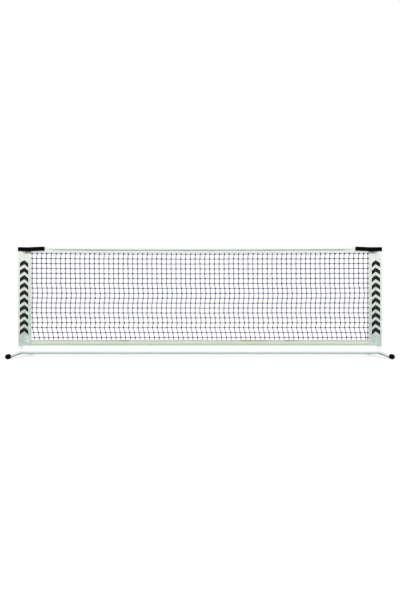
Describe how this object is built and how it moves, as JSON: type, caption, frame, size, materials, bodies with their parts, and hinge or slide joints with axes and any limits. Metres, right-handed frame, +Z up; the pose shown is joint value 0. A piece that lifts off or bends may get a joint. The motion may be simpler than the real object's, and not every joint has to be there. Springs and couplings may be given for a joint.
{
  "type": "pickleball portable net",
  "caption": "Free-standing portable pickleball net: steel tube frame on T feet with rubber caps, knotted net under a white headband, sleeved posts, black hook-and-loop straps.",
  "frame": {"origin": "on the floor, midway between the posts and midway between the front and rear feet", "axes": "+X along the net to the viewer's right, +Y away from the viewer, through the net, +Z up; the front, where the straps close, faces -Y"},
  "size_m": [3.0548, 0.7218, 0.925],
  "materials": {
    "powder_coat": "white powder coat, satin, fine orange peel",
    "rubber": "moulded black rubber, matte",
    "grey_plastic": "moulded, fine texture",
    "button_steel": "zinc plated",
    "spring_steel": "blued strip",
    "sleeve_fabric": "coated polyester, pale green-white",
    "headband_fabric": "white coated polyester, stitched",
    "band_fabric": "cream woven tape, stitched",
    "black_webbing": "woven nylon webbing",
    "hook_and_loop": "hook and loop pile",
    "netting": "knotted navy twine"
  },
  "bodies": {
    "frame": {"middle_base_tube": "powder_coat", "left_corner_hub": "powder_coat", "left_base_tube": "powder_coat", "left_post": "powder_coat", "left_post_plug": "grey_plastic", "left_front_foot": "powder_coat", "left_front_foot_cap": "rubber", "left_rear_foot": "powder_coat", "left_rear_foot_cap": "rubber", "left_post_spring": "spring_steel", "left_base_spring": "spring_steel", "left_middle_spring": "spring_steel", "left_front_spring": "spring_steel", "left_rear_spring": "spring_steel", "left_sleeve": "sleeve_fabric", "left_strap": "black_webbing", "left_loop_pad": "hook_and_loop", "right_corner_hub": "powder_coat", "right_base_tube": "powder_coat", "right_post": "powder_coat", "right_post_plug": "grey_plastic", "right_front_foot": "powder_coat", "right_front_foot_cap": "rubber", "right_rear_foot": "powder_coat", "right_rear_foot_cap": "rubber", "right_post_spring": "spring_steel", "right_base_spring": "spring_steel", "right_middle_spring": "spring_steel", "right_front_spring": "spring_steel", "right_rear_spring": "spring_steel", "right_sleeve": "sleeve_fabric", "right_strap": "black_webbing", "right_loop_pad": "hook_and_loop", "headband": "headband_fabric", "tension_webbing": "black_webbing", "bottom_band": "band_fabric", "netting": "netting"},
    "left_post_button": {"left_post_button": "button_steel"},
    "left_base_button": {"left_base_button": "button_steel"},
    "left_middle_button": {"left_middle_button": "button_steel"},
    "left_front_button": {"left_front_button": "button_steel"},
    "left_rear_button": {"left_rear_button": "button_steel"},
    "left_tab": {"left_strap_tab": "black_webbing", "left_hook_pad": "hook_and_loop"},
    "right_post_button": {"right_post_button": "button_steel"},
    "right_base_button": {"right_base_button": "button_steel"},
    "right_middle_button": {"right_middle_button": "button_steel"},
    "right_front_button": {"right_front_button": "button_steel"},
    "right_rear_button": {"right_rear_button": "button_steel"},
    "right_tab": {"right_strap_tab": "black_webbing", "right_hook_pad": "hook_and_loop"}
  },
  "joints": [
    {"name": "left_post_button_press", "type": "slide", "parent": "frame", "child": "left_post_button", "axis": [0, -1, 0], "range_m": [0, 0.0045], "stiffness_N_per_m": 900, "springref_m": -0.004, "deforming": ["left_post_spring"]},
    {"name": "left_base_button_press", "type": "slide", "parent": "frame", "child": "left_base_button", "axis": [0, -1, 0], "range_m": [0, 0.0045], "stiffness_N_per_m": 900, "springref_m": -0.004, "deforming": ["left_base_spring"]},
    {"name": "left_middle_button_press", "type": "slide", "parent": "frame", "child": "left_middle_button", "axis": [0, -1, 0], "range_m": [0, 0.0045], "stiffness_N_per_m": 900, "springref_m": -0.004, "deforming": ["left_middle_spring"]},
    {"name": "left_front_button_press", "type": "slide", "parent": "frame", "child": "left_front_button", "axis": [1, 0, 0], "range_m": [0, 0.0045], "stiffness_N_per_m": 900, "springref_m": -0.004, "deforming": ["left_front_spring"]},
    {"name": "left_rear_button_press", "type": "slide", "parent": "frame", "child": "left_rear_button", "axis": [1, 0, 0], "range_m": [0, 0.0045], "stiffness_N_per_m": 900, "springref_m": -0.004, "deforming": ["left_rear_spring"]},
    {"name": "left_tab_peel", "type": "hinge", "parent": "frame", "child": "left_tab", "pos_m": [-1.424, -0.007, 0.903], "axis": [0, 0, -1], "range_deg": [0, 150]},
    {"name": "right_post_button_press", "type": "slide", "parent": "frame", "child": "right_post_button", "axis": [0, -1, 0], "range_m": [0, 0.0045], "stiffness_N_per_m": 900, "springref_m": -0.004, "deforming": ["right_post_spring"]},
    {"name": "right_base_button_press", "type": "slide", "parent": "frame", "child": "right_base_button", "axis": [0, -1, 0], "range_m": [0, 0.0045], "stiffness_N_per_m": 900, "springref_m": -0.004, "deforming": ["right_base_spring"]},
    {"name": "right_middle_button_press", "type": "slide", "parent": "frame", "child": "right_middle_button", "axis": [0, -1, 0], "range_m": [0, 0.0045], "stiffness_N_per_m": 900, "springref_m": -0.004, "deforming": ["right_middle_spring"]},
    {"name": "right_front_button_press", "type": "slide", "parent": "frame", "child": "right_front_button", "axis": [-1, 0, 0], "range_m": [0, 0.0045], "stiffness_N_per_m": 900, "springref_m": -0.004, "deforming": ["right_front_spring"]},
    {"name": "right_rear_button_press", "type": "slide", "parent": "frame", "child": "right_rear_button", "axis": [-1, 0, 0], "range_m": [0, 0.0045], "stiffness_N_per_m": 900, "springref_m": -0.004, "deforming": ["right_rear_spring"]},
    {"name": "right_tab_peel", "type": "hinge", "parent": "frame", "child": "right_tab", "pos_m": [1.424, -0.007, 0.903], "axis": [0, 0, 1], "range_deg": [0, 150]}
  ]
}
